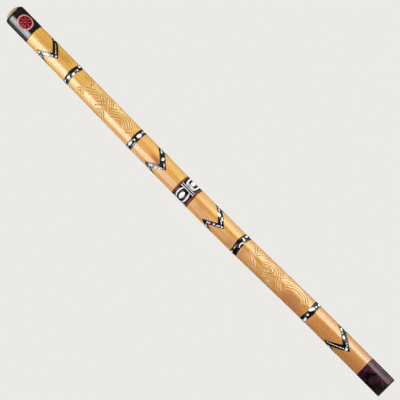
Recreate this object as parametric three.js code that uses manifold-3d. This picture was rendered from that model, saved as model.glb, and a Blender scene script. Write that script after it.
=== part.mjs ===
// A rainstick: a long bamboo tube plugged at both ends. A helix of thin wooden pins is driven
// through its wall, and loose pebbles trickle down over them when the stick is turned over.
// Millimetres. +Z runs up the stick, and the origin is the middle of the base of its box.

import * as THREE from 'three';
import { mergeVertices } from 'three/addons/utils/BufferGeometryUtils.js';
import Module from 'manifold-3d';

const wasm = await Module();
wasm.setup();

// Driving dimensions of the tube.
const LENGTH = 1194; // foot to the top of the domed plug
const FOOT_RADIUS = 25.7;
const HEAD_RADIUS = 24.9;
const BORE_RADIUS = 20.5;
const TUBE_SIDES = 40;

// Each bamboo node: its height, and how far the stick has bowed towards -X there.
// The stick is straight between nodes, and its two ends are in line.
const NODES = [
  { height: 236, bow: 0.6 },
  { height: 454, bow: 5.2 },
  { height: 622, bow: 6.1 },
  { height: 787, bow: 4.7 },
  { height: 992, bow: 2.1 },
];
const NODE_SWELL = 0.8; // how far a node's ridge stands out of the tube
const NODE_HALF_WIDTH = 6;
const MEMBRANE_RIM = 0.7; // what is left inside of a node's pierced membrane
const MEMBRANE_HALF_WIDTH = 2.5;

// Plugs.
const GAP = 0.3; // clearance between neighbouring pieces
const FOOT_PLUG_THICKNESS = 14;
const HEAD_RIM_HEIGHT = 1186; // top of the tube's own wood
const SHOULDER_WIDTH = 4.2; // the head's outer edge is rounded over this far inwards
const SHOULDER_HEIGHT = 7; // and this far down
const HEAD_PLUG_DEPTH = 16; // from the rim down to the plug's inner face
const HEAD_DOME = LENGTH - HEAD_RIM_HEIGHT;

// Pins: a helix that uses evenly spaced columns about the straight Z axis.
const PIN_COUNT = 42;
const PIN_COLUMNS = 12;
const PIN_RADIUS = 1.2;
const PIN_POINT = 4; // length of the sharpened inner end
const PIN_REACH = 5; // how close a pin's point comes to the Z axis
const PIN_SIDES = 8;
const PIN_INSET = 0.15; // a pin is trimmed this far below the bamboo's surface
const FIRST_PIN = 32;
const LAST_PIN = 1152;

// Pebbles: one in the lane between each two columns of pins, and one in the clear middle.
const PEBBLE_RADIUS = 2.1;
const LANE_RADIUS = 14.3;

const COLORS = {
  bamboo: 0xe4b273,
  plug: 0xe0b578,
  pin: 0xcda068,
  pebble: 0x8d7f72,
};

const material = (color, roughness) =>
  new THREE.MeshStandardMaterial({ color, roughness, metalness: 0 });
const bambooLook = material(COLORS.bamboo, 0.35);
const plugLook = material(COLORS.plug, 0.6);
const pinLook = material(COLORS.pin, 0.7);
const pebbleLook = material(COLORS.pebble, 0.6);

const tubeRadius = (z) => THREE.MathUtils.lerp(FOOT_RADIUS, HEAD_RADIUS, z / LENGTH);

// The bow towards -X at a height, along the straight runs from node to node.
function bowAt(z) {
  const knots = [{ height: 0, bow: 0 }, ...NODES, { height: LENGTH, bow: 0 }];
  const above = Math.max(1, knots.findIndex((knot) => knot.height >= z));
  const [low, high] = [knots[above - 1], knots[above]];
  const along = (z - low.height) / (high.height - low.height);
  return THREE.MathUtils.lerp(low.bow, high.bow, along);
}

// The ends stand this far towards +X, so that the bowed tube's box is centred on the Z axis.
const reachesLeft = Math.max(
  ...NODES.map(({ height, bow }) => bow + tubeRadius(height) + NODE_SWELL),
);
const END_OFFSET = (reachesLeft - FOOT_RADIUS) / 2;

const centreAt = (z) => END_OFFSET - bowAt(z);

// A solid of revolution about Z from [radius, height] points.
function turned(points, sides) {
  const profile = points.map(([radius, height]) => new THREE.Vector2(radius, height));
  return new THREE.LatheGeometry(profile, sides).rotateX(Math.PI / 2);
}

function toManifold(geometry) {
  const bare = geometry.clone();
  bare.deleteAttribute('normal');
  bare.deleteAttribute('uv');
  const welded = mergeVertices(bare, 1e-4);
  const mesh = new wasm.Mesh({
    numProp: 3,
    vertProperties: new Float32Array(welded.attributes.position.array),
    triVerts: new Uint32Array(welded.index.array),
  });
  return new wasm.Manifold(mesh);
}

function toGeometry(manifold) {
  const { vertProperties, triVerts } = manifold.getMesh();
  const geometry = new THREE.BufferGeometry();
  geometry.setAttribute('position', new THREE.BufferAttribute(vertProperties, 3));
  geometry.setIndex(new THREE.BufferAttribute(triVerts, 1));
  return geometry;
}

// The tube's section: up the outside over the node ridges, round the head, down the bore.
function tubeProfile() {
  const outside = NODES.flatMap(({ height }) => [
    [tubeRadius(height - NODE_HALF_WIDTH), height - NODE_HALF_WIDTH],
    [tubeRadius(height) + NODE_SWELL, height],
    [tubeRadius(height + NODE_HALF_WIDTH), height + NODE_HALF_WIDTH],
  ]);
  const shoulderSteps = 4;
  const head = Array.from({ length: shoulderSteps + 1 }, (_, step) => {
    const angle = (step / shoulderSteps) * (Math.PI / 2);
    return [
      HEAD_RADIUS - SHOULDER_WIDTH * (1 - Math.cos(angle)),
      HEAD_RIM_HEIGHT - SHOULDER_HEIGHT * (1 - Math.sin(angle)),
    ];
  });
  const bore = NODES.toReversed().flatMap(({ height }) => [
    [BORE_RADIUS, height + MEMBRANE_HALF_WIDTH],
    [BORE_RADIUS - MEMBRANE_RIM, height],
    [BORE_RADIUS, height - MEMBRANE_HALF_WIDTH],
  ]);
  const ring = [
    [FOOT_RADIUS, 0],
    ...outside,
    ...head,
    [BORE_RADIUS, HEAD_RIM_HEIGHT],
    ...bore,
    [BORE_RADIUS, 0],
  ];
  return [...ring, ring[0]];
}

// Moves each point of a straight tube sideways, on to the bowed centre line.
function bend(geometry) {
  const { position } = geometry.attributes;
  for (let i = 0; i < position.count; i += 1) {
    position.setX(i, position.getX(i) + centreAt(position.getZ(i)));
  }
  return geometry;
}

// Where the pins are: angle about Z, height, and distance from Z to the tube's surface there.
const pins = Array.from({ length: PIN_COUNT }, (_, index) => {
  const height = THREE.MathUtils.lerp(FIRST_PIN, LAST_PIN, index / (PIN_COUNT - 1));
  const angle = (index % PIN_COLUMNS) * ((2 * Math.PI) / PIN_COLUMNS);
  const centre = centreAt(height);
  const along = centre * Math.cos(angle);
  const surface = along + Math.sqrt(tubeRadius(height) ** 2 - centre ** 2 + along ** 2);
  return { angle, height, surface };
});

// Lays a shape made along +Z down along a pin's own line, from `from` mm outside the Z axis.
function placeOnPin(geometry, { angle, height }, from) {
  return geometry
    .translate(0, 0, from)
    .rotateY(Math.PI / 2)
    .rotateZ(angle)
    .translate(0, 0, height);
}

function pinHole(pin) {
  const hole = turned([
    [0, 0],
    [PIN_RADIUS + GAP, 0],
    [PIN_RADIUS + GAP, FOOT_RADIUS],
    [0, FOOT_RADIUS],
  ], PIN_SIDES);
  return placeOnPin(hole, pin, BORE_RADIUS / 2);
}

function pinShape(pin) {
  const length = pin.surface - PIN_INSET - PIN_REACH;
  const shape = turned([
    [0, 0],
    [PIN_RADIUS, PIN_POINT],
    [PIN_RADIUS, length],
    [0, length],
  ], PIN_SIDES);
  return placeOnPin(shape, pin, PIN_REACH);
}

function bambooTube() {
  const blank = toManifold(bend(turned(tubeProfile(), TUBE_SIDES)));
  const drilled = pins.reduce((tube, pin) => tube.subtract(toManifold(pinHole(pin))), blank);
  return toGeometry(drilled);
}

function footPlug() {
  const radius = BORE_RADIUS - GAP;
  return turned([
    [0, 0],
    [radius, 0],
    [radius, FOOT_PLUG_THICKNESS],
    [0, FOOT_PLUG_THICKNESS],
  ], TUBE_SIDES).translate(centreAt(0), 0, 0);
}

function headPlug() {
  const radius = BORE_RADIUS - GAP;
  const domeSteps = 5;
  const dome = Array.from({ length: domeSteps + 1 }, (_, step) => {
    const angle = (step / domeSteps) * (Math.PI / 2);
    return [radius * Math.cos(angle), HEAD_RIM_HEIGHT + HEAD_DOME * Math.sin(angle)];
  });
  dome[domeSteps][0] = 0;
  const innerFace = HEAD_RIM_HEIGHT - HEAD_PLUG_DEPTH;
  return turned([
    [0, innerFace],
    [radius, innerFace],
    ...dome,
  ], TUBE_SIDES).translate(centreAt(LENGTH), 0, 0);
}

// A slightly flattened pebble, lying at the foot of its lane.
function pebble(lane) {
  const shape = new THREE.IcosahedronGeometry(PEBBLE_RADIUS, 1);
  shape.scale(1, 0.88, 0.8).rotateZ(lane * 1.9);
  const angle = (lane + 0.5) * ((2 * Math.PI) / PIN_COLUMNS);
  const radius = lane < PIN_COLUMNS ? LANE_RADIUS : 0;
  const height = FOOT_PLUG_THICKNESS + GAP + PEBBLE_RADIUS * 0.8;
  return shape.translate(radius * Math.cos(angle), radius * Math.sin(angle), height);
}

const group = new THREE.Group();
function add(name, geometry, look) {
  const mesh = new THREE.Mesh(geometry, look);
  mesh.name = name;
  group.add(mesh);
}

const numbered = (name, index) => `${name}_${String(index + 1).padStart(2, '0')}`;

add('bamboo_tube', bambooTube(), bambooLook);
add('foot_plug', footPlug(), plugLook);
add('head_plug', headPlug(), plugLook);
pins.forEach((pin, index) => add(numbered('pin', index), pinShape(pin), pinLook));
for (let lane = 0; lane <= PIN_COLUMNS; lane += 1) {
  add(numbered('pebble', lane), pebble(lane), pebbleLook);
}

export default group;
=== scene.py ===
"""A long carved and painted bamboo rainstick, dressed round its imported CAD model.

Sizes are in millimetres on the stick and turned into metres when a mesh is made. A place on the
stick's skin is given as (right, height): right is the distance round the stick from the middle of
the painted front, positive towards the viewer's right, and height is measured up from the foot.
"""
import math
import random

import bmesh
import bpy
import numpy as np
from mathutils import Matrix, Vector, kdtree, noise


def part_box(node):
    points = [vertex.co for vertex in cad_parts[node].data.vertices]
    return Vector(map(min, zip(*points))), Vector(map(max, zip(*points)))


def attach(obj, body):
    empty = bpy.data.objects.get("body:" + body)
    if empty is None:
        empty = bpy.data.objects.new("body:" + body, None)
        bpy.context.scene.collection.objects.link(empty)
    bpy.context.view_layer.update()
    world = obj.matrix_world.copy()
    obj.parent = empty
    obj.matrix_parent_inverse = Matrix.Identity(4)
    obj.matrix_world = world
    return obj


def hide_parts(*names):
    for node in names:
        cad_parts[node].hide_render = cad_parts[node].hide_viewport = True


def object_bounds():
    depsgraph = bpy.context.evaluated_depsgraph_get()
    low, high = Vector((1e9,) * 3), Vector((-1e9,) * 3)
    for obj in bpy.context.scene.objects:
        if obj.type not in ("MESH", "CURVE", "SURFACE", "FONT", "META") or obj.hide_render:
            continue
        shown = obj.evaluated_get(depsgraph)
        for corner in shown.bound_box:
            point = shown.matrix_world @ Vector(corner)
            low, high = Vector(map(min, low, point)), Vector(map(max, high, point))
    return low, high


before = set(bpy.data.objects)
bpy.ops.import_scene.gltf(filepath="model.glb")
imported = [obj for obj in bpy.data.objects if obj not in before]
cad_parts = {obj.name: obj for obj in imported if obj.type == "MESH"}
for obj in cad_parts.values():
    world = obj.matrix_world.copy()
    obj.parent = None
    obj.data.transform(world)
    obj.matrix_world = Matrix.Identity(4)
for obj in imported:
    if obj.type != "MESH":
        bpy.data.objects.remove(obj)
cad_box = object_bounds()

MM = 0.001
STICK = "stick"  # the body that everything but the pebbles rides on


# ------------ the CAD tube, read from the imported model

RING_POINTS = 30  # a full ring of the tube has at least this many corners
OUTSIDE_RADIUS = 23.0  # rings thinner than this are the bore
NODE_SWELL = 0.3  # a ring that is wider than both its neighbours by this much is a bamboo node
TOLERANCE = 0.1  # on a ring's height


def corners(node):
    """The corners of a CAD node, in mm."""
    return np.array([v.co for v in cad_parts[node].data.vertices]) / MM


def tube_rings():
    """Height, sideways offset and radius of each ring on the outside of the CAD tube."""
    points = corners("bamboo_tube")
    levels = points[:, 2].round(2)
    rings = []
    for height in np.unique(levels):
        level_points = points[levels == height]
        radius = np.ptp(level_points[:, 1]) / 2
        if len(level_points) >= RING_POINTS and radius > OUTSIDE_RADIUS:
            rings.append((height, (level_points[:, 0].max() + level_points[:, 0].min()) / 2, radius))
    return np.array(rings)


RINGS = tube_rings()
LENGTH = cad_box[1].z / MM
WALL_TOP = corners("bamboo_tube")[:, 2].max()  # the top of the tube's own wood
SHOULDER_WIDTH = 4.2  # the head's edge is rounded over this far inwards
SHOULDER_HEIGHT = 7.0  # and this far down
SHOULDER_START = WALL_TOP - SHOULDER_HEIGHT
IS_NODE = np.array([
    0 < i < len(RINGS) - 1 and RINGS[i, 2] > max(RINGS[i - 1, 2], RINGS[i + 1, 2]) + NODE_SWELL
    for i in range(len(RINGS))
])
NODE_HEIGHTS = RINGS[IS_NODE, 0]
PLAIN = RINGS[~IS_NODE & (RINGS[:, 0] < SHOULDER_START + TOLERANCE)]
PLUG_RADIUS = np.ptp(corners("head_plug")[:, 1]) / 2
BORE = PLUG_RADIUS + 0.3  # the CAD plugs' clearance
DOME_HEIGHT = LENGTH - WALL_TOP  # the head plug's dome, above the tube's own wood

RIDGE = 0.75  # how far a bamboo node stands out
RIDGE_WIDTH = 3.4
SCAR = 0.35  # the shallow groove just below each node
SCAR_PLACE = 1.8  # how many ridge widths below it is
CIRCUMFERENCE = 2 * math.pi * PLAIN[:, 2].mean()
# Slow waves in the skin: size, lobes round the stick, the height in which they turn a radian, phase.
WAVES = [(0.14, 2, 160, 1.0), (0.09, 3, -85, 0.0)]


def centre_at(height):
    """How far the bowed stick's middle is from the Z axis, along X."""
    return np.interp(height, RINGS[:, 0], RINGS[:, 1])


def skin_radius(around, height):
    """Radius of the lacquered bamboo, with its nodes and its slight hand-grown unevenness."""
    radius = np.interp(height, PLAIN[:, 0], PLAIN[:, 2])
    for size, lobes, rise, phase in WAVES:
        radius = radius + size * np.sin(lobes * around + height / rise + phase)
    for node in NODE_HEIGHTS:
        off = (height - node) / RIDGE_WIDTH
        radius = radius + RIDGE * np.exp(-off * off) - SCAR * np.exp(-(off + SCAR_PLACE) ** 2)
    over = np.clip((height - WALL_TOP) / SHOULDER_HEIGHT + 1, 0, 1)
    return radius - SHOULDER_WIDTH * (1 - np.sqrt(1 - over * over))


def ring(centre, radius, around, height):
    """Points, in mm, at angles round an upright axis that stands at centre along X."""
    places = centre + radius * np.sin(around), -radius * np.cos(around), height
    return np.stack(np.broadcast_arrays(*places), -1)


def skin(around, height, lift=0.0):
    """Points, in mm, at an angle and height on the skin and lifted off it."""
    around, height = np.asarray(around), np.asarray(height)
    return ring(centre_at(height), skin_radius(around, height) + lift, around, height)


def angle(right):
    """The angle from the front, in radians, of a distance round the stick."""
    return np.asarray(right) * 2 * math.pi / CIRCUMFERENCE


def distance_round(around):
    """The distance round the stick of an angle from the front."""
    return around * CIRCUMFERENCE / (2 * math.pi)


# ------------ mesh building

def grid_faces(rows, columns, loop_rows=False):
    """Quads of a grid of points. Each row closes into a ring. With loop_rows, so does each column."""
    r, c = np.meshgrid(np.arange(rows if loop_rows else rows - 1), np.arange(columns), indexing="ij")
    up, along = (r + 1) % rows, (c + 1) % columns
    quads = [r * columns + c, r * columns + along, up * columns + along, up * columns + c]
    return np.stack(quads, -1).reshape(-1, 4).tolist()


def joined(shells):
    """Several (points, faces) shells as one."""
    points, faces, start = [], [], 0
    for shell_points, shell_faces in shells:
        points.append(np.asarray(shell_points).reshape(-1, 3))
        faces += [[start + i for i in face] for face in shell_faces]
        start += len(points[-1])
    return np.concatenate(points), faces


def make_piece(name, shell, look, body=STICK, replaces=()):
    """A smooth mesh object from a (points in mm, faces) shell, riding on a CAD body."""
    points, faces = shell
    mesh = bpy.data.meshes.new(name)
    mesh.from_pydata((np.asarray(points).reshape(-1, 3) * MM).tolist(), [], faces)
    mesh.materials.append(look)
    mesh.shade_smooth()
    piece = bpy.data.objects.new(name, mesh)
    bpy.context.scene.collection.objects.link(piece)
    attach(piece, body)
    if replaces:
        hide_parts(*replaces)
    return piece


def lathe(profile, columns, centre=0.0, wobble=None):
    """A closed solid from a (radius, height) profile that starts and ends on its upright axis.
    Wobble gives the share of the radius to add at an angle."""
    middle = np.array(profile[1:-1])
    turn = np.linspace(0, 2 * math.pi, columns, endpoint=False)
    radius = middle[:, :1] * (1 + wobble(turn) if wobble else 1)
    points = ring(centre, radius, turn, middle[:, 1:])
    ends = [[centre, 0, profile[0][1]], [centre, 0, profile[-1][1]]]
    faces = grid_faces(len(middle), columns)
    top = (len(middle) - 1) * columns
    low_end, high_end = top + columns, top + columns + 1
    for i in range(columns):
        j = (i + 1) % columns
        faces += [[low_end, j, i], [high_end, top + i, top + j]]
    return np.concatenate([points.reshape(-1, 3), ends]), faces


# ------------ paint laid on the skin

PAINT = 0.25  # thickness of a flat coat
SUNK = 0.35  # how far paint solids reach into the bamboo below them
DOT = 0.55  # height of a blob of paint
SMALL_DOT = 1.2  # blobs with a smaller half-width than this are lower
FLAT = 0.8 * PAINT  # how far a blob's or a stroke's edge is off the bamboo, just under a coat's top
COAT_COLUMNS = 288


def coat(low, high, columns=COAT_COLUMNS, rows=14, thickness=PAINT):
    """A closed ring of paint between two edges, each a function of the angle round the stick."""
    around = np.linspace(-math.pi, math.pi, columns, endpoint=False)
    # it thins out over the last 1.5% next to each edge, then turns down into the bamboo
    share = np.concatenate([[0, 0], np.linspace(0.015, 0.985, rows), [1, 1]])
    lift = np.full(len(share), thickness)
    lift[[0, -1]], lift[[1, -2]] = -SUNK, thickness * 0.25
    edge_low, edge_high = low(around), high(around)
    height = edge_low[None, :] + share[:, None] * (edge_high - edge_low)[None, :]
    inner = height[::-1][1:-1]
    heights = np.concatenate([height, inner])
    lifts = np.concatenate([lift, np.full(len(inner), -SUNK)])[:, None]
    points = skin(around[None, :], heights, lifts)
    return points.reshape(-1, 3), grid_faces(len(heights), columns, loop_rows=True)


def level(height, waver, phase=0.0):
    """A coat's edge painted by hand: nearly level."""
    def edge(around):
        return height + waver * (np.sin(2 * around + phase) + 0.5 * np.sin(5 * around + 2 * phase))
    return edge


def blob(place, size, lean=0.0, tips=(0.0, 0.0), tall=DOT, fine=1):
    """A domed drop of paint. Size is its half-length and half-width, lean turns its length from
    straight round the stick, in degrees, and tips draws its left and right ends out to points.
    A large one is made finer, to follow the round of the stick."""
    spokes, steps = 20 * fine, 5 * fine
    spoke = np.linspace(0, 2 * math.pi, spokes, endpoint=False)
    reach = np.sin(np.linspace(0, math.pi / 2, steps + 1)[1:])
    rightward = 0.5 + 0.5 * np.cos(spoke)
    narrow = 1 - tips[0] * (1 - rightward) ** 1.5 - tips[1] * rightward ** 1.5
    long_way = np.outer(reach, np.cos(spoke)) * size[0]
    short_way = np.outer(reach, np.sin(spoke) * narrow) * size[1]
    turn = math.radians(lean)
    right = place[0] + long_way * math.cos(turn) - short_way * math.sin(turn)
    height = place[1] + long_way * math.sin(turn) + short_way * math.cos(turn)
    tall *= min(1, min(size) / SMALL_DOT)
    lift = tall * np.sqrt(np.clip(1 - reach ** 2, 0, 1)) + FLAT
    rings = skin(angle(right), height, lift[:, None])
    sunk = skin(angle(right[-1]), height[-1], -SUNK)
    points = np.concatenate([sunk[None], rings[::-1]]).reshape(-1, 3)
    ends = skin(angle([place[0]] * 2), [place[1]] * 2, [tall + FLAT, -SUNK])
    faces = grid_faces(steps + 1, spokes)
    top, bottom = len(points), len(points) + 1
    for i in range(spokes):
        j = (i + 1) % spokes
        faces += [[top, steps * spokes + i, steps * spokes + j], [bottom, j, i]]
    return np.concatenate([points, ends]), faces


def stroke(path, width, taper, tall=DOT * 0.7):
    """A brush stroke along a path of (right, height) points, of half-width width at its middle. The
    greater its taper, the longer its thin ends."""
    path = np.asarray(path, float)
    along = np.gradient(path, axis=0)
    along /= np.linalg.norm(along, axis=1)[:, None]
    left = np.stack([-along[:, 1], along[:, 0]], -1)
    share = np.linspace(-1, 1, len(path))
    half = width * np.clip(1 - np.abs(share) ** (2 / taper), 0.12, 1) ** 0.6
    across = np.linspace(0, math.pi, 7)
    side = np.cos(across)[None, :] * half[:, None]
    lift = np.sin(across)[None, :] * tall * (half / width)[:, None] + FLAT
    places = path[:, None, :] + left[:, None, :] * side[..., None]
    top = skin(angle(places[..., 0]), places[..., 1], lift)
    under = skin(angle(places[:, ::-1, 0][:, ::6]), places[:, ::-1, 1][:, ::6], -SUNK)
    loops = np.concatenate([top, under], 1)
    count = loops.shape[1]
    faces = grid_faces(len(path), count)
    last = (len(path) - 1) * count
    faces += [list(range(count)), [last + i for i in reversed(range(count))]]
    return loops.reshape(-1, 3), faces


def smooth_path(points, step=1.0):
    """A Catmull-Rom curve through points, sampled about every step mm."""
    points = np.asarray(points, float)
    knots = np.concatenate([[2 * points[0] - points[1]], points, [2 * points[-1] - points[-2]]])
    found = []
    for a, b, c, d in zip(knots, knots[1:], knots[2:], knots[3:]):
        count = max(2, int(np.linalg.norm(c - b) / step))
        t = np.linspace(0, 1, count, endpoint=False)[:, None]
        found.append(0.5 * (2 * b + (c - a) * t + (2 * a - 5 * b + 4 * c - d) * t ** 2
                            + (3 * b - a - 3 * c + d) * t ** 3))
    return np.concatenate([*found, points[-1:]])


# ------------ materials

def is_socket(value):
    return isinstance(value, bpy.types.NodeSocket)


class Look:
    """A node material, built up a node at a time round one Principled shader."""

    def __init__(self, name, **sockets):
        self.material = bpy.data.materials.new(name)
        self.material.use_nodes = True
        self.tree = self.material.node_tree
        self.shader = self.tree.nodes["Principled BSDF"]
        for socket, value in sockets.items():
            self.shader.inputs[socket.replace("_", " ")].default_value = value

    def node(self, kind, inputs=None, **settings):
        made = self.tree.nodes.new("ShaderNode" + kind)
        for key, value in settings.items():
            setattr(made, key, value)
        for key, value in (inputs or {}).items():
            if is_socket(value):
                self.tree.links.new(value, made.inputs[key])
            else:
                made.inputs[key].default_value = value
        return made

    def place(self, *scale):
        """Object coordinates stretched by a scale along each axis."""
        where = self.node("TexCoord").outputs["Object"]
        return self.node("Mapping", {"Vector": where, "Scale": scale}).outputs["Vector"]

    def noise(self, scale, detail=3.0, roughness=0.5, distortion=0.0):
        inputs = {"Vector": self.place(*scale), "Scale": 1.0, "Detail": detail,
                  "Roughness": roughness, "Distortion": distortion}
        return self.node("TexNoise", inputs).outputs["Fac"]

    def ramp(self, factor, stops, smooth=False):
        """Colours or greys at places along a factor."""
        made = self.node("ValToRGB", {"Fac": factor})
        made.color_ramp.interpolation = "EASE" if smooth else "LINEAR"
        elements = made.color_ramp.elements
        while len(elements) < len(stops):
            elements.new(0.5)
        for element, (place, color) in zip(elements, stops):
            element.position = place
            grey = isinstance(color, (int, float))
            element.color = (color,) * 3 + (1,) if grey else (*color, 1)
        return made.outputs["Color"]

    def mix(self, kind, factor, under, over):
        """One colour laid over another, the upper one a node's or plain."""
        inputs = {0: factor, 6: under, 7: over if is_socket(over) else (*over, 1)}
        return self.node("Mix", inputs, data_type="RGBA", blend_type=kind).outputs[2]

    def math(self, kind, a, b):
        return self.node("Math", {0: a, 1: b}, operation=kind).outputs[0]

    def finish(self, color, bump, strength, distance=0.0002, roughness=None):
        """The material, once its shader has its colour, bump and perhaps roughness from nodes."""
        raised = self.node("Bump", {"Height": bump, "Strength": strength, "Distance": distance})
        self.tree.links.new(color, self.shader.inputs["Base Color"])
        self.tree.links.new(raised.outputs["Normal"], self.shader.inputs["Normal"])
        if roughness:
            self.tree.links.new(roughness, self.shader.inputs["Roughness"])
        return self.material


STAIN = (0.46, 0.145, 0.030)
GROOVE_SHADE = (0.42, 0.165, 0.045)  # painted shade inside a carved line, a darker brown
LIP_HIGHLIGHT = (1.0, 0.77, 0.40)  # and painted highlight along its raised lips
WARM_PATCH = (0.72, 0.24, 0.05)
DARK_FLECK = (0.28, 0.11, 0.04)


def bamboo_look():
    """Lacquered bamboo: honey at the head to tan at the foot, with fibres, flecks and stains, painted shade
    in its carved grooves and painted highlight along their lips.
    """
    look = Look("lacquered_bamboo", Coat_Weight=1.0, Coat_Roughness=0.28, Coat_IOR=1.65,
                Specular_IOR_Level=0.48)
    height = look.node("SeparateXYZ", {0: look.node("TexCoord").outputs["Object"]}).outputs["Z"]
    up = look.math("DIVIDE", height, LENGTH * MM)
    base = look.ramp(up, [
        (0.04, (0.58, 0.235, 0.032)),
        (0.22, (0.68, 0.290, 0.046)),
        (0.42, (0.80, 0.375, 0.072)),
        (0.62, (0.90, 0.455, 0.105)),
        (0.80, (1.00, 0.560, 0.112)),
        (0.985, (1.00, 0.530, 0.098)),
        (0.992, (0.46, 0.300, 0.150)),  # the cut end of the wall
    ])
    fibres = look.noise((900, 900, 9), detail=4, roughness=0.6)
    streaks = look.noise((170, 170, 3.0), detail=3)
    fine = look.noise((520, 520, 4.0), detail=2)
    patches = look.noise((34, 34, 11), detail=2, distortion=0.6)
    flecks = look.noise((1500, 1500, 55), detail=2)
    color = look.mix("MULTIPLY", 0.55, base, look.ramp(fibres, [(0.25, 0.62), (0.7, 1.0)]))
    color = look.mix("MULTIPLY", 0.8, color, look.ramp(streaks, [(0.36, (0.78, 0.64, 0.50)), (0.58, 1.0)]))
    color = look.mix("MULTIPLY", 0.7, color, look.ramp(fine, [(0.36, (0.80, 0.70, 0.60)), (0.55, 1.0)]))
    color = look.mix("MIX", look.ramp(patches, [(0.50, 0.0), (0.74, 0.4)]), color, WARM_PATCH)
    color = look.mix("MIX", look.ramp(flecks, [(0.68, 0.0), (0.78, 0.5)]), color, DARK_FLECK)
    # what internode() stores at each corner; the cut darkens as painted shade, the lip lightens as painted
    # highlight
    for name, share, over in (("stain", 1.0, STAIN), ("carved", 0.7, GROOVE_SHADE), ("lip", 0.45, LIP_HIGHLIGHT)):
        stored = look.node("Attribute", attribute_name=name).outputs["Fac"]
        color = look.mix("MIX", look.math("MULTIPLY", stored, share), color, over)
    roughness = look.ramp(fibres, [(0.2, 0.36), (0.8, 0.50)])
    return look.finish(color, fibres, strength=0.07, distance=0.0001, roughness=roughness)


FOOT_COAT_TOP = 68.2
INK = (0.0025, 0.002, 0.0025)


def black_look(name, bloom_and_sheen_color, shine, softness, tint=(1, 1, 1), index=1.5, ground=INK, aside=0.0,
               sheen_upward=0.0):
    """Black lacquer with a bloom of colour, brush marks and shallow dimples. On the foot's coat the bloom
    may grow to the right and up from its middle, as painted sheen on the lit side fading downwards."""
    look = Look(name, Specular_IOR_Level=0.5 * shine, Specular_Tint=(*tint, 1), Roughness=softness,
                IOR=index)
    bloom_and_sheen = look.noise((55, 55, 60), detail=3, distortion=0.8)
    place = look.node("SeparateXYZ", {0: look.node("TexCoord").outputs["Object"]})
    half_height = FOOT_COAT_TOP / 2 * MM
    # painted sheen: the bloom grows towards the foot coat's lit right side and upwards, where its highlight
    # is
    for axis, growth, reach in (("X", aside, BORE * MM), ("Z", sheen_upward, half_height)):
        if growth:
            bloom_and_sheen = look.math("ADD", bloom_and_sheen, look.math("MULTIPLY", place.outputs[axis], growth / reach))
    if sheen_upward:
        bloom_and_sheen = look.math("SUBTRACT", bloom_and_sheen, sheen_upward)
    middle = tuple(0.6 * g + 0.4 * c for g, c in zip(ground, bloom_and_sheen_color))
    color = look.ramp(bloom_and_sheen, [(0.43, ground), (0.60, middle), (0.72, bloom_and_sheen_color)])
    brush = look.noise((90, 90, 1400), detail=2)
    dimples = look.noise((130, 130, 60), detail=2, distortion=1.0)
    surface = look.math("ADD", brush, look.math("MULTIPLY", dimples, 5.0))
    return look.finish(color, surface, strength=0.12, distance=0.0001)


def paint_look(name, dark, light, roughness=0.35, coat=0.35, shine=1.0):
    """Opaque paint with thin and thick places and a slightly uneven skin."""
    look = Look(name, Roughness=roughness, Coat_Weight=coat, Coat_Roughness=0.2,
                Specular_IOR_Level=0.5 * shine)
    body = look.noise((420, 420, 420), detail=3)
    color = look.ramp(body, [(0.3, dark), (0.62, light)])
    return look.finish(color, look.noise((900, 900, 900), detail=2), strength=0.2)


def plug_look():
    """Bare wood cut across: growth rings and pores."""
    look = Look("plug_wood", Roughness=0.5, Coat_Weight=0.15, Coat_Roughness=0.3)
    where = look.place(1, 1, 0.35)
    waves = look.node("TexWave", {"Vector": where, "Scale": 95.0, "Distortion": 3.5, "Detail": 3.0,
                                  "Detail Scale": 1.6}, wave_type="RINGS", rings_direction="Z")
    pores = look.noise((1600, 1600, 500), detail=2)
    color = look.ramp(waves.outputs["Fac"], [(0.1, (0.62, 0.45, 0.25)), (0.75, (0.80, 0.62, 0.38))])
    color = look.mix("MULTIPLY", 0.5, color, look.ramp(pores, [(0.3, 0.6), (0.55, 1.0)]))
    return look.finish(color, waves.outputs["Fac"], strength=0.2)


def pin_look():
    """Plain split wood."""
    look = Look("pin_wood", Roughness=0.6)
    grain = look.noise((700, 700, 700), detail=4, roughness=0.65)
    color = look.ramp(grain, [(0.3, (0.36, 0.19, 0.07)), (0.7, (0.62, 0.40, 0.19))])
    return look.finish(color, grain, strength=0.4)


def pebble_look():
    """Speckled brown stone with fainter, larger veins."""
    look = Look("river_pebble", Roughness=0.45)
    speckle = look.noise((1500, 1500, 1500), detail=4, roughness=0.7)
    veins = look.noise((380, 380, 700), detail=2, distortion=1.5)
    color = look.ramp(speckle, [(0.32, (0.10, 0.085, 0.07)), (0.6, (0.30, 0.26, 0.22)),
                                (0.75, (0.50, 0.47, 0.42))])
    color = look.mix("MULTIPLY", 0.5, color, look.ramp(veins, [(0.4, (0.7, 0.55, 0.42)), (0.6, 1.0)]))
    return look.finish(color, speckle, strength=0.35)


BAMBOO = bamboo_look()
GLOSSY_BLACK = black_look("glossy_black_lacquer", (0.034, 0.018, 0.014), 1.0, 0.17, index=1.75,
                          ground=(0.010, 0.011, 0.010))
SATIN_BLACK = black_look("satin_black_lacquer", (0.012, 0.007, 0.006), 0.6, 0.20)
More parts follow.
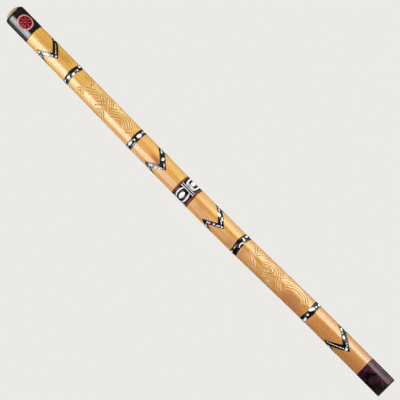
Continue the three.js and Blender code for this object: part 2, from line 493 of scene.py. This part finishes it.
# its plum bloom is partly the lacquer's own colour and partly painted sheen, grown to the lit right and
# upwards
PLUM_BLACK = black_look("plum_black_lacquer", (0.10, 0.018, 0.046), 0.8, 0.15, tint=(1.0, 0.76, 0.82),
                        aside=0.10, sheen_upward=0.06)
MAROON = paint_look("maroon_paint", (0.08, 0.009, 0.006), (0.19, 0.030, 0.018), coat=0.15, shine=0.5)
WHITE = paint_look("white_paint", (0.66, 0.62, 0.65), (0.95, 0.90, 0.95))
SILVER = paint_look("silver_paint", (0.36, 0.41, 0.44), (0.70, 0.75, 0.79), roughness=0.28)
GREY = paint_look("grey_paint", (0.24, 0.25, 0.30), (0.44, 0.45, 0.52))
TAN = paint_look("tan_paint", (0.24, 0.17, 0.08), (0.44, 0.33, 0.17))
RED = paint_look("red_paint", (0.50, 0.014, 0.04), (0.74, 0.05, 0.11), roughness=0.5, coat=0.0, shine=0.5)
PINK = paint_look("pale_red_paint", (0.54, 0.15, 0.16), (0.80, 0.38, 0.39), roughness=0.3, coat=1.0)
DEEP_RED = paint_look("deep_red_paint", (0.07, 0.001, 0.003), (0.13, 0.003, 0.007), roughness=0.3, coat=0.0,
                      shine=0.7)
PLUG_WOOD = plug_look()
PIN_WOOD = pin_look()
PEBBLE = pebble_look()


# ------------ carving

GROOVE = 1.35  # half-width of a carved line
GROOVE_DEPTH = 1.0
LINE_SPACING = 5.8
LIP = 0.25  # how far the bamboo stands up beside a cut
FADE = 7  # a line reaches its full depth within one part in this many of its half-length


def circle(right, height, radius):
    """Corners all round a circle, back to the first."""
    turns = np.linspace(0, 2 * math.pi, 17)
    return [(right + radius * math.sin(turn), height + radius * math.cos(turn)) for turn in turns]


# Each ribbon: how many parallel lines, how deep they are as a share of GROOVE_DEPTH, and the
# (right, height) corners of the first one. Further lines lie to the left of its direction.
UPPER_RIBBONS = [
    (2, 1.0, [(-17, 940), (-5, 950.5), (-16, 962)]),
    (1, 1.0, [(1, 949), (8, 938), (15, 947)]),
    (2, 1.0, [(28, 952), (14, 941), (28, 931)]),
    (3, 1.0, [(7, 886), (15, 896), (20.5, 908), (18, 920), (8, 935)]),
    (1, 1.0, [(-19, 898), (-4, 883)]),
    (1, 1.0, [(-13, 906), (3, 891)]),
    (1, 1.0, [(-5, 908), (9, 895)]),
    (2, 1.0, [(-21, 870), (-7, 883), (-18, 893)]),
    (1, 1.0, [(6, 886.5), (25, 899.5)]),
    (3, 1.0, [(28, 894), (7, 877), (26, 857)]),
    (4, 1.0, [(11, 807), (22, 820), (27, 837), (22, 854), (7, 873)]),
    (1, 1.0, [(-6, 812), (2, 803), (10, 809)]),
]
LOWER_RIBBONS = [
    (3, 0.55, [(-24, 390), (-10, 399), (0, 413), (4, 428)]),
    (2, 1.0, [(23, 428), (9, 411), (24, 396)]),
    (2, 1.0, [(8, 343), (16, 350), (19.8, 362), (17, 376), (8, 389)]),
    (1, 1.0, circle(5, 365, 2.8)),
    (1, 1.0, circle(5, 365, 8.2)),
    (2, 0.55, [(10, 343), (3, 356), (-11, 376)]),
    (2, 0.55, [(-25, 336), (-12, 348), (-25, 360)]),
    (2, 0.55, [(6, 344), (-5, 334), (-17, 322)]),
    (3, 1.0, [(25, 356), (8, 341), (23, 322)]),
    (3, 1.0, [(8, 252), (20, 265), (25, 286), (22, 303), (10, 322)]),
]


def parallel_lines(count, points):
    """A ribbon's lines: its first path, and copies shifted to its left."""
    first = smooth_path(points, step=0.5)
    along = np.gradient(first, axis=0)
    left = np.stack([-along[:, 1], along[:, 0]], -1)
    left /= np.linalg.norm(left, axis=1)[:, None]
    return [first + left * LINE_SPACING * line for line in range(count)]


def groove_points(ribbons):
    """Every point of a carved stretch's lines, front and back, and how deep the cut is there."""
    places, depths = [], []
    for half_turn in (0, CIRCUMFERENCE / 2):
        for count, depth, points in ribbons:
            closed = np.allclose(points[0], points[-1])
            for line in parallel_lines(count, points):
                from_end = 1 - np.abs(np.linspace(-1, 1, len(line)))
                fade = 1.0 if closed else np.clip(from_end * FADE, 0, 1) ** 0.6
                places.append(skin(angle(line[:, 0] + half_turn), line[:, 1]))
                depths.append(np.full(len(line), depth) * fade)
    return np.concatenate(places), np.concatenate(depths)


def carver(ribbons):
    """A function giving, at each of some points, the cut's depth and its lips' height, from 0 to 1."""
    places, depths = groove_points(ribbons)
    tree = kdtree.KDTree(len(places))
    for i, place in enumerate(places):
        tree.insert(place, i)
    tree.balance()

    def cut_at(points):
        cut, lip = np.zeros(len(points)), np.zeros(len(points))
        for i, point in enumerate(points):
            _, nearest, distance = tree.find(point)
            if distance < GROOVE:
                cut[i] = depths[nearest] * (1 - (distance / GROOVE) ** 2)
            elif distance < 3 * GROOVE:  # a lip is one groove wide, and rises and falls in a half wave
                lip[i] = depths[nearest] * math.sin(math.pi / 2 * (distance / GROOVE - 1))
        return cut, lip
    return cut_at


# Blotches in the bamboo's colour: (right, height, half-width, half-length, strength). The last few
# are round the sides and back.
STAINS = [
    (-18, 78, 12, 9, 0.45), (-4, 105, 14, 16, 0.25), (1, 190, 3.5, 26, 0.6), (-20, 262, 12, 20, 0.35),
    (-9, 283, 15, 24, 0.85), (-14, 300, 14, 10, 0.4), (-10, 337, 8, 9, 0.45), (3, 416, 6, 7, 0.6),
    (-8, 440, 10, 10, 0.5), (-15, 472, 13, 10, 0.6), (-5, 573, 7, 14, 0.45), (-2, 712, 9, 12, 0.35),
    (1, 720, 5.0, 18, 1.0), (9, 835, 5, 9, 0.45), (8, 900, 9, 12, 0.3), (19, 958, 6, 16, 0.5),
    (17, 1018, 9, 16, 0.35), (12, 1040, 9, 30, 0.35), (6, 1080, 8, 26, 0.3),
    (-75, 150, 18, 34, 0.5), (55, 340, 16, 40, 0.5), (-60, 540, 12, 34, 0.5), (80, 700, 20, 30, 0.4),
    (70, 860, 12, 30, 0.4), (-50, 1050, 16, 26, 0.4),
]


def stain_at(around, height):
    """How stained the bamboo is at angles and heights."""
    right = distance_round(around)
    found = np.zeros(np.broadcast(right, height).shape)
    for stain_right, stain_height, half_width, half_length, strength in STAINS:
        aside = (right - stain_right + CIRCUMFERENCE / 2) % CIRCUMFERENCE - CIRCUMFERENCE / 2
        up = height - stain_height
        found += strength * np.exp(-(aside / half_width) ** 2 - (up / half_length) ** 2)
    return np.clip(found, 0, 1)


# ------------ the bamboo

COLUMNS, STEP = 128, 2.0  # the mesh of a plain length: corners round it, and mm from row to row
CARVED_COLUMNS, CARVED_STEP = 272, 0.62  # and of one with carving
INSIDE_ROWS = 7


def internode(number, bottom, top, cut_at=None):
    """One closed length of the tube between two bamboo nodes, bore and all."""
    columns, step = (CARVED_COLUMNS, CARVED_STEP) if cut_at else (COLUMNS, STEP)
    heights = np.linspace(bottom, top, int((top - bottom) / step) + 1)
    if top == WALL_TOP:
        shoulder = WALL_TOP - SHOULDER_HEIGHT * (1 - np.sin(np.linspace(0, math.pi / 2, 13)))
        heights = np.concatenate([heights[heights < shoulder[0] - step / 4], shoulder])
    around = np.linspace(-math.pi, math.pi, columns, endpoint=False)
    cut = lip = np.zeros((len(heights), columns))
    if cut_at:
        cut, lip = cut_at(skin(around[None, :], heights[:, None]).reshape(-1, 3))
        cut, lip = cut.reshape(-1, columns), lip.reshape(-1, columns)
    outside = skin(around[None, :], heights[:, None], LIP * lip - GROOVE_DEPTH * cut)
    inside_heights = np.linspace(top, bottom, INSIDE_ROWS)[:, None]
    inside = ring(centre_at(inside_heights), BORE, around, inside_heights)
    points = np.concatenate([outside, inside])
    shell = points.reshape(-1, 3), grid_faces(len(points), columns, loop_rows=True)
    replaces = ["bamboo_tube"] if number == 1 else []
    piece = make_piece(f"bamboo_internode_{number}", shell, BAMBOO, replaces=replaces)
    bore = np.zeros((INSIDE_ROWS, columns))
    stain = stain_at(around[None, :], heights[:, None])
    for name, values in (("carved", cut), ("lip", lip), ("stain", stain)):
        stored = piece.data.attributes.new(name, "FLOAT", "POINT")
        stored.data.foreach_set("value", np.concatenate([values, bore]).ravel().astype(np.float32))


def make_bamboo():
    ends = [0.0, *NODE_HEIGHTS, WALL_TOP]
    designs = {2: LOWER_RIBBONS, 5: UPPER_RIBBONS}
    for number, (bottom, top) in enumerate(zip(ends, ends[1:]), start=1):
        internode(number, bottom, top, carver(designs[number]) if number in designs else None)


def make_plugs():
    bevel, small_bevel = 0.8, 0.4
    radius = PLUG_RADIUS
    low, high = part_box("head_plug")
    bottom = low.z / MM
    dome = [(radius * math.cos(turn), WALL_TOP + DOME_HEIGHT * math.sin(turn))
            for turn in np.linspace(0, math.pi / 2, 20)[:-1]]
    profile = [(0, bottom), (radius - bevel, bottom), (radius, bottom + bevel), *dome, (0, LENGTH)]
    make_piece("head_plug_dome", lathe(profile, 96, (low.x + high.x) / 2 / MM), PLUG_WOOD,
               replaces=["head_plug"])
    low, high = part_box("foot_plug")
    top = high.z / MM
    profile = [(0, 0), (radius - small_bevel, 0), (radius, small_bevel), (radius, top - bevel),
               (radius - bevel, top), (0, top)]
    make_piece("foot_plug_disc", lathe(profile, 96, (low.x + high.x) / 2 / MM), PLUG_WOOD,
               replaces=["foot_plug"])


# ------------ black coats and bands

HALFWAY = 600
BLACKS = {False: SATIN_BLACK, True: GLOSSY_BLACK}  # lit and shaded copies of one black paint: glossier, with a slightly lighter ground, above halfway where the high lights fall; duller and darker below
HEAD_COAT_LOW = 1117.6
COAT_BACK = math.radians(140)  # where round the head its coat goes farthest
COAT_REACH = (0.42, 0.98)  # in quarter turns: how far it goes at the front, and how much more there
# Each band lies round a node: its edges, how far they waver, how many crests that makes, and where
# one is, in degrees, then its marks as (right, height above the middle, half-length, half-width, lean).
BANDS = {
    "band_1": (984.0, 998.0, 1.5, 3, 0, [
        (-38, 1, 5.6, 3.2, 5), (-25.5, 1.5, 3.2, 2.4, 0), (-12, -0.5, 4.8, 3.8, 12),
        (1.5, -3.2, 4.8, 2.6, 0), (15, -3.4, 2.0, 1.9, 0), (28, 1.2, 6.0, 3.2, -4)]),
    "band_2": (777.2, 793.0, 0.5, 3, 30, [
        (-31, 2, 2.4, 2.0, 0), (-17, 2.2, 7.2, 3.6, -7), (-3, 0.2, 2.2, 2.3, 20),
        (11, -0.8, 6.8, 4.2, -6), (24, 0.5, 1.9, 1.9, 0), (36, 1, 6.2, 3.6, 0)]),
    "band_3": (445.0, 462.2, 1.8, 2, 20, [
        # the upright white mark at 14.2 is a painted highlight: the right lights' reflection on the black,
        # laid on as white paint
        (-32, 2.0, 7.0, 2.3, 0), (-14, 3.0, 1.5, 1.3, 0), (14.2, 1.4, 5.2, 2.2, 74),
        (28, 2.2, 7.6, 2.2, -6)]),
    "band_4": (229.0, 244.2, -1.2, 3, 0, [
        (-22.5, -3.0, 7.6, 3.0, 8), (-8.2, 0.0, 2.4, 2.5, 45), (6.5, 2.2, 7.8, 3.8, -24),
        (18.5, -0.6, 2.4, 2.2, 0), (32, -1.5, 6.6, 3.0, 14)]),
}
CRESCENTS = {"band_3": [(-6.5, 448.4), (-4, 451.0), (1, 452.2), (6, 450.6), (9.5, 446.9)]}
BEHIND = 44  # from here round the back a band's marks are long and short in turn, at even steps
PAIR_STEP = 27  # mm for about one long and one short mark
LONG_MARK, SHORT_MARK = (6.2, 3.5), (2.1, 2.1)


def head_surface(share, low, last, around):
    """Height, radius and outward direction of the head at a share of its coat: up the wall until 1,
    then until 2 over the shoulder and on over the plug's dome, last quarter turns in all."""
    if share < 1:
        height = low + (SHOULDER_START - low) * share
        return height, skin_radius(around, height), 1.0, 0.0
    quarter = math.pi / 2
    turn = (share - 1) * last * quarter
    on_plug = turn > quarter
    climb = np.clip(turn - quarter, 0.03, None)
    shoulder = WALL_TOP - SHOULDER_HEIGHT * (1 - np.sin(np.minimum(turn, quarter)))
    height = np.where(on_plug, WALL_TOP + DOME_HEIGHT * np.sin(climb), shoulder)
    radius = np.where(on_plug, PLUG_RADIUS * np.cos(climb), skin_radius(around, height))
    out = np.where(on_plug, np.cos(climb) / PLUG_RADIUS, np.cos(turn) / SHOULDER_WIDTH)
    up = np.where(on_plug, np.sin(climb) / DOME_HEIGHT, np.sin(turn) / SHOULDER_HEIGHT)
    return height, radius, out / np.hypot(out, up), up / np.hypot(out, up)


def head_coat():
    """The head's coat: up the wall, over its rounded shoulder and, round the back, on to the plug."""
    around = np.linspace(-math.pi, math.pi, COAT_COLUMNS, endpoint=False)
    low = level(HEAD_COAT_LOW, 0.4, 1.0)(around)
    back = np.clip((np.cos(around - COAT_BACK) + 0.45) / 1.2, 0, 1)
    last = COAT_REACH[0] + COAT_REACH[1] * back + 0.02 * np.sin(5 * around)
    outer, inner = [], []
    for share in np.concatenate([[0.0], np.linspace(0.01, 0.99, 30), np.linspace(1.0, 2.0, 26)]):
        height, radius, out, up = head_surface(share, low, last, around)
        edge = min(share / 0.01, (2.0 - share) / 0.04, 1.0)  # it thins out at both ends
        for rows, lift in ((outer, PAINT * edge), (inner, -SUNK)):
            rows.append(ring(centre_at(height), radius + lift * out, around, height + lift * up))
    points = np.stack(outer + inner[::-1])
    return points.reshape(-1, 3), grid_faces(len(points), COAT_COLUMNS, loop_rows=True)


def make_coats():
    foot = coat(lambda around: np.full_like(around, 0.02), level(FOOT_COAT_TOP, 0.2), rows=30)
    make_piece("foot_coat", foot, PLUM_BLACK)
    make_piece("head_coat", head_coat(), GLOSSY_BLACK)


def make_band(name, low, high, waver, crests, crest_at, marks):
    def edge(height):
        rough = level(height, 0.25, height)
        return lambda around: rough(around) + waver * np.cos(crests * (around - math.radians(crest_at)))
    make_piece(name, coat(edge(low), edge(high)), BLACKS[low > HALFWAY])
    middle = (low + high) / 2
    shells = [blob((right, middle + up), (length, width), lean) for right, up, length, width, lean in marks]
    room = CIRCUMFERENCE + marks[0][0] - BEHIND
    steps = 2 * round(room / PAIR_STEP)
    for i in range(steps):
        right = BEHIND + (i + 0.5) * room / (steps + 0.5)
        # they waver and lean a little, as if by hand
        height = float(edge(middle)(angle(right))) + 0.8 * math.sin(3.1 * i + low)
        shells.append(blob((right, height), LONG_MARK if i % 2 else SHORT_MARK, 7 * math.sin(2.3 * i + low)))
    if name in CRESCENTS:
        shells.append(stroke(smooth_path(CRESCENTS[name]), 1.5, taper=0.6))
    make_piece(name + "_dots", joined(shells), WHITE)


# ------------ zigzags

# Each zigzag: the height of its front tip, its thickness along the stick, its corners as (right,
# rise above that tip), and the front's marks as (paint, right, rise, half-length, half-width, lean).
# The two legs that meet at the tip and end beside it are the front's. The others look alike.
ZIGZAGS = {
    "zigzag_1": (1036.4, 19.2, [(-48, 1), (-20.5, 32), (1, 0), (32, 30), (58, 0), (84, 31)], [
        ("white", 1.2, 7.4, 2.4, 2.1, 0), ("white", -3.2, 14.8, 1.9, 1.7, 0),
        ("white", -12.8, 28.4, 9.6, 3.2, -59), ("white", -22.0, 43.2, 3.4, 2.8, 0),
        ("white", 5.6, 13.2, 1.7, 1.5, 40), ("tan", 10.2, 17.8, 4.6, 1.3, 44),
        ("white", 14.8, 22.6, 1.3, 1.1, 0), ("tan", 20.6, 28.4, 6.4, 1.3, 43)]),
    "zigzag_2": (685.8, 20.4, [(-49, 0), (-21.5, 31), (-0.5, 0), (29, 31.5), (56, 1), (83, 30)], [
        ("white", -2.0, 6.2, 1.3, 1.1, 0), ("silver", -7.0, 13.8, 6.2, 2.4, -52),
        ("white", -12.6, 22.6, 3.6, 2.9, -40), ("silver", -18.4, 34.4, 6.4, 3.2, -58),
        ("white", 4.4, 12, 5.2, 0.9, 50), ("white", 12.6, 23.4, 4.4, 3.2, 15),
        ("silver", 25.0, 38.4, 5.2, 2.2, 38)]),
    "zigzag_3": (502.4, 18.8, [(-49, 1), (-20.5, 33.5), (-1, 0), (32, 34), (57, 0), (84, 32)], [
        ("white", -1.2, 6.2, 1.7, 2.4, 0), ("silver", -5.0, 14, 6.0, 1.6, -54),
        ("white", -9.8, 23.6, 2.6, 2.1, -30), ("silver", -16.4, 35.4, 5.8, 2.1, -57),
        ("white", 5.4, 15, 6.2, 1.0, 50), ("white", 12.2, 18.4, 4.4, 2.0, 50),
        # the white mark at 14.8, 31.0 is a painted highlight: the right lights' reflection on the black, laid
        # on as white paint
        ("white", 14.8, 31.0, 6.4, 3.4, 66), ("silver", 26.0, 38.8, 5.6, 2.0, 34)]),
    "zigzag_4": (113, 22.8, [(-50, 1), (-24.5, 38.5), (-0.5, 0), (29, 38.5), (56, 0), (83, 37)], [
        *[("white", -5.6 - 2.1 * n, 16.2 + 4.35 * n, 1.45, 1.3, -62) for n in range(9)],
        ("white", -2.0, 9.8, 3.7, 3.0, 15), ("white", 4.2, 13.6, 1.7, 1.4, 0),
        ("white", 7.0, 18.2, 1.7, 1.4, 0), ("white", 13.0, 32.2, 4.6, 2.8, 62),
        ("white", 18.4, 41.2, 1.9, 1.8, 0), ("silver", 24.4, 48.4, 5.2, 2.7, 52)]),
}
BACK_CORNER = 3  # legs from this corner on, round the back to the first one's end, are common ones
# A common leg's marks, each at a share of its length: paint, half-length, half-width.
LEG_MARKS = {0: ("white", 2.3, 2.1), 0.27: ("silver", 5.6, 2.1), 0.5: ("white", 2.0, 1.8),
             0.74: ("silver", 5.6, 2.1)}
PAINTS = {"white": (WHITE, "white_paint", "dots"), "silver": (SILVER, "silver_paint", "leaves"),
          "tan": (TAN, "white_paint", "flecks")}


def leg_marks(start, end):
    """The common marks of a zigzag's leg from one (right, rise) corner to the next."""
    (right, rise), (run, climb) = start, (end[0] - start[0], end[1] - start[1])
    lean = math.degrees(math.atan2(climb, run))
    return [(paint, right + run * share, rise + climb * share, length, width, lean)
            for share, (paint, length, width) in LEG_MARKS.items()]


def make_zigzag(name, tip, thick, turns, front):
    rights, rises = np.array(turns, float).T

    def edge(base):
        def height(around):
            right = distance_round(around)
            # its corners are a little rounded
            soft = [np.interp(right + shift, rights, rises, period=CIRCUMFERENCE) for shift in (-0.8, 0, 0.8)]
            return base + np.mean(soft, axis=0)
        return height
    make_piece(name, coat(edge(tip), edge(tip + thick), columns=400), BLACKS[tip > HALFWAY])
    behind = [*turns[BACK_CORNER:], *((right + CIRCUMFERENCE, rise) for right, rise in turns[:2])]
    common = [(paint, right, thick / 2 + rise, *rest) for start, end in zip(behind, behind[1:])
              for paint, right, rise, *rest in leg_marks(start, end)]
    for paint, (look, slot, ending) in PAINTS.items():
        shells = [blob((right, tip + rise), (length, width), lean)
                  for kind, right, rise, length, width, lean in [*front, *common] if kind == paint]
        if shells:
            make_piece(f"{name}_{ending}", joined(shells), look)


# ------------ the centre band

CENTRE_BAND = (598.0, 645.4)
MAROON_EDGES = (6.0, 4.8)  # below and above
MEDALLIONS = [(-14.4, 15.6), (28.0, 18.0), (68.0, 16.0), (105.5, 16.0)]  # middle and half-length
ARCHES = (8.6, 4.3)  # how far a medallion's arches stand off its middle at their ends, and rise more
LENS = (10.4, 8.6)
PUPIL = (1.3, 0.8)
DIVIDERS = [5.2, 47.5, 86.0, 123.5]
BEADED_LINES = [(-2.5, 1.05), (2.6, 0.95)]  # offset from the divider, bead size
BEAD_STEP = 1.95
PANEL_OFFSET, PANEL_HALF_HEIGHT = 9.2, 10.5


def medallion(right, middle, half):
    """Two arches round a lens."""
    share = np.linspace(-1, 1, 26)
    rise = ARCHES[0] + ARCHES[1] * (1 - np.abs(share) ** 2.4)
    arches = [stroke(np.stack([right + share * half, middle + way * rise], -1), 1.9, taper=0.45)
              for way in (-1, 1)]
    return [*arches, blob((right - 0.4, middle + 0.4), LENS, tips=(0.45, 0.45))]


def make_centre_band():
    low, high = CENTRE_BAND
    inner_low, inner_high = low + MAROON_EDGES[0], high - MAROON_EDGES[1]
    ground = coat(level(inner_low - 0.4, 0.2), level(inner_high + 0.4, 0.2), rows=24)
    make_piece("centre_band", ground, SATIN_BLACK)
    edges = [coat(level(low, 0.3), level(inner_low, 0.2), rows=6, thickness=PAINT + 0.1),
             coat(level(inner_high, 0.2), level(high, 0.3, 2.0), rows=6, thickness=PAINT + 0.1)]
    make_piece("centre_band_edges", joined(edges), MAROON)
    middle = (low + high) / 2 + 0.7
    white = [blob((right + offset, middle + n * BEAD_STEP), (bead, bead * 1.15))
             for right in DIVIDERS for offset, bead in BEADED_LINES for n in range(-9, 10)]
    for right, half in MEDALLIONS:
        white += medallion(right, middle, half)
    make_piece("centre_band_white", joined(white), WHITE)
    panels = []
    for right in DIVIDERS[:3]:
        heights = middle + np.linspace(-PANEL_HALF_HEIGHT, PANEL_HALF_HEIGHT, 12)
        path = [(right + PANEL_OFFSET, height) for height in heights]
        panels.append(stroke(path, 4.2, tall=0.2, taper=0.15))
    make_piece("centre_band_panels", joined(panels), GREY)
    pupils = [blob((right, middle), PUPIL, tall=DOT + 0.35) for right, _ in MEDALLIONS]
    make_piece("centre_band_pupils", joined(pupils), SILVER)


# ------------ the rosette on the head

ROSETTE = (5.4, 1148.4)
GROUND_RADIUS = 20.0
PETALS, PETAL, PETALS_RADIUS = 8, (4.5, 1.9), 8.2
BEADS, BEAD, BEADS_RADIUS = 28, (2.3, 1.95), 17.2


def wreath(radius, count, size, tall, tips=(0.0, 0.0)):
    """Blobs round the rosette's middle, their lengths pointing away from it."""
    right, height = ROSETTE
    turns = [2 * math.pi * i / count for i in range(count)]
    return [blob((right + radius * math.cos(turn), height + radius * math.sin(turn)), size,
                 math.degrees(turn), tips, tall) for turn in turns]


def make_rosette():
    ground = blob(ROSETTE, (GROUND_RADIUS, GROUND_RADIUS), tall=0.25, fine=4)
    make_piece("rosette_ground", ground, DEEP_RED)
    petals = [blob(ROSETTE, (2.5, 2.5), tall=0.7), *wreath(PETALS_RADIUS, PETALS, PETAL, 0.7, (0.6, 0.2))]
    make_piece("rosette_petals", joined(petals), RED)
    make_piece("rosette_ring", joined(wreath(BEADS_RADIUS, BEADS, BEAD, 0.45)), PINK)


# ------------ pins and pebbles inside

HELICES = 3  # the CAD model's helix of pins, and its copies turned about the stick
PIN_RADIUS = 1.2
PIN_INSET = 0.3  # how far its outer end is below the tube's thinnest place
PIN_END = 1.5  # corners this near a CAD pin's farthest one are its outer end


def pin_shell(base, tip, seed):
    """A whittled pin from its outer end to its sharp inner end, both in metres."""
    length = (tip - base).length / MM
    rough = random.Random(seed)
    profile = [(0, 0.0), (0.97, 0.0), (1, 0.5), (0.98, length * 0.45), (0.96, length - 4.2),
               (0.5, length - 1.8), (0, length)]
    phase = rough.uniform(0, 6)
    points, faces = lathe([(PIN_RADIUS * share, height) for share, height in profile], 12,
                          wobble=lambda turn: 0.05 * np.sin(3 * turn + phase))
    spin = (tip - base).to_track_quat("Z", "Y").to_matrix()
    return points @ np.array(spin).T + np.array(base) / MM, faces


def make_pins():
    names = sorted(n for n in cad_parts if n.startswith("pin_"))
    helices = [[] for _ in range(HELICES)]
    for seed, name in enumerate(names):
        points = corners(name)
        height = (points[:, 2].min() + points[:, 2].max()) / 2
        centre = centre_at(height)
        reach = np.hypot(points[:, 0], points[:, 1])
        way = Vector((*points[reach > reach.max() - PIN_END][:, :2].mean(0), 0)).normalized()
        for turn, helix in enumerate(helices):
            out = Matrix.Rotation(turn * 2 * math.pi / HELICES, 3, "Z") @ way
            outer = out.x * centre + math.sqrt(PLAIN[:, 2].min() ** 2 - (out.y * centre) ** 2) - PIN_INSET
            base, tip = out * outer * MM, out * reach.min() * MM
            base.z = tip.z = height * MM
            helix.append(pin_shell(base, tip, seed * HELICES + turn))
    for number, helix in enumerate(helices, start=1):
        make_piece(f"pin_helix_{number}", joined(helix), PIN_WOOD,
                   replaces=names if number == 1 else [])


def make_pebbles():
    for name in sorted(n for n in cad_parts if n.startswith("pebble_")):
        low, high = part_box(name)
        centre, half = (low + high) / 2, (high - low) / 2
        stone = bmesh.new()
        bmesh.ops.create_icosphere(stone, subdivisions=4, radius=1.0)
        for vertex in stone.verts:
            lump = 0.10 * noise.noise(vertex.co * 1.3 + centre * 900)
            place = vertex.co * (0.93 + lump)
            vertex.co = Vector(c * h for c, h in zip(place, half)) + centre
        points = [vertex.co / MM for vertex in stone.verts]
        faces = [[vertex.index for vertex in face.verts] for face in stone.faces]
        stone.free()
        make_piece(name + "_stone", (points, faces), PEBBLE, body=name, replaces=[name])


# ------------ studio

# What the camera, glossy reflections and everything else see of the room: colour, strength, ray.
SURROUNDINGS = [((0.97, 0.98, 1.0), 0.36, None), ((0.93, 0.96, 1.0), 0.02, "Is Glossy Ray"),
                ((0.831, 0.823, 0.791), 1.0, "Is Camera Ray")]
FLOOR_RADIUS = 0.9


def make_world():
    world = bpy.data.worlds.new("studio")
    bpy.context.scene.world = world
    world.use_nodes = True
    tree = world.node_tree
    tree.nodes.clear()
    path = tree.nodes.new("ShaderNodeLightPath")
    shown = None
    for color, strength, ray in SURROUNDINGS:
        background = tree.nodes.new("ShaderNodeBackground")
        background.inputs["Color"].default_value = (*color, 1)
        background.inputs["Strength"].default_value = strength
        if ray:
            mix = tree.nodes.new("ShaderNodeMixShader")
            tree.links.new(path.outputs[ray], mix.inputs[0])
            tree.links.new(shown.outputs[0], mix.inputs[1])
            tree.links.new(background.outputs[0], mix.inputs[2])
            background = mix
        shown = background
    output = tree.nodes.new("ShaderNodeOutputWorld")
    tree.links.new(shown.outputs[0], output.inputs[0])


def make_floor():
    """A pale disc that fades into the backdrop."""
    columns = 96
    turn = np.linspace(0, 2 * math.pi, columns, endpoint=False)
    below = np.full(columns, -0.0004)  # just under the foot
    rings = [np.stack([radius * np.cos(turn), radius * np.sin(turn), below], -1)
             for radius in (0.001, 0.2, FLOOR_RADIUS)]
    mesh = bpy.data.meshes.new("floor")
    mesh.from_pydata(np.concatenate(rings).tolist(), [], grid_faces(3, columns))
    look = Look("floor_paper", Roughness=0.9)
    where = look.node("TexCoord").outputs["Object"]
    far = look.node("VectorMath", {0: where}, operation="LENGTH").outputs["Value"]
    fade = look.ramp(look.math("DIVIDE", far, FLOOR_RADIUS), [(0.25, 1.0), (0.95, 0.0)], smooth=True)
    grain = look.ramp(look.noise((900, 900, 900)), [(0.3, (0.80, 0.79, 0.76)), (0.7, (0.84, 0.83, 0.80))])
    look.tree.links.new(grain, look.shader.inputs["Base Color"])
    look.tree.links.new(fade, look.shader.inputs["Alpha"])
    mesh.materials.append(look.material)
    floor = bpy.data.objects.new("floor", mesh)
    bpy.context.scene.collection.objects.link(floor)


def softbox(name, azimuth, distance, low, high, width, glow, color=(1, 1, 1)):
    """An upright rectangle of light, its azimuth counted from the camera towards the viewer's
    right, its edges at two heights, its glow the light it sends out of each part."""
    data = bpy.data.lights.new(name, "AREA")
    data.shape, data.size, data.size_y = "RECTANGLE", width, high - low
    data.energy, data.color = glow * math.pi * width * (high - low), color
    light = bpy.data.objects.new(name, data)
    turn = math.radians(azimuth)
    light.location = (distance * math.sin(turn), -distance * math.cos(turn), (low + high) / 2)
    light.rotation_euler = (math.pi / 2, 0, turn)
    bpy.context.scene.collection.objects.link(light)
    return light


def make_lights():
    """High lights on the left and low ones on the right, whose reflections run down the stick."""
    softbox("left_softbox", -51, 2.5, 1.05, 1.85, 3.2, 5.4, (0.96, 1.0, 1.0))
    softbox("left_core", -44, 2.48, 1.05, 1.85, 1.4, 2.4, (0.94, 1.0, 0.95))
    softbox("left_edge_softbox", -106, 2.5, 0.9, 1.85, 1.6, 0.45, (0.90, 1.0, 1.0))
    softbox("left_fill", -106, 2.52, 0.9, 1.85, 1.6, 0.5, (0.90, 1.0, 1.0)).visible_glossy = False
    softbox("front_fill", 15, 1.5, 1.25, 1.75, 0.8, 1.2, (0.96, 1.0, 0.97)).visible_glossy = False
    softbox("right_softbox", 58, 1.4, -0.45, 0.72, 1.3, 3.9, (0.92, 1.0, 0.86))
    softbox("right_strip", 51, 1.36, -0.45, 0.62, 0.22, 6.0, (0.88, 1.0, 0.74))
    softbox("right_edge_softbox", 102, 1.6, -0.45, 0.72, 1.4, 1.4, (0.86, 1.0, 0.95))
    softbox("back_softbox", -140, 2.5, 0.1, 1.6, 1.6, 5.0).visible_glossy = False
    softbox("back_softbox", 140, 2.5, 0.1, 1.6, 1.6, 1.6).visible_glossy = False


CAMERA_PLACE = Vector((0.0046, -5.67, 0.0))
CAMERA_AIM = Vector((0.0046, 0, 0.5885))
LENS_LENGTH, SENSOR = 229.9, 36
LEAN = math.radians(44.86)  # the head leans this far to the left of straight up


def make_camera():
    data = bpy.data.cameras.new("camera")
    data.lens, data.sensor_width = LENS_LENGTH, SENSOR
    data.clip_start, data.clip_end = 0.1, 60
    camera = bpy.data.objects.new("camera", data)
    forward = (CAMERA_AIM - CAMERA_PLACE).normalized()
    side = forward.cross(Vector((0, 0, 1))).normalized()
    up = side.cross(forward)
    right = side * math.cos(LEAN) - up * math.sin(LEAN)
    camera_up = side * math.sin(LEAN) + up * math.cos(LEAN)
    turn = Matrix((right, camera_up, -forward)).transposed()
    camera.matrix_world = Matrix.Translation(CAMERA_PLACE) @ turn.to_4x4()
    bpy.context.scene.collection.objects.link(camera)
    bpy.context.scene.camera = camera
    bpy.context.scene.view_settings.view_transform = "Standard"


# ------------ assembly

make_camera()
make_world()
make_lights()
make_floor()
make_bamboo()
make_plugs()
make_coats()
for band, design in BANDS.items():
    make_band(band, *design)
for zigzag, design in ZIGZAGS.items():
    make_zigzag(zigzag, *design)
make_centre_band()
make_rosette()
make_pins()
make_pebbles()
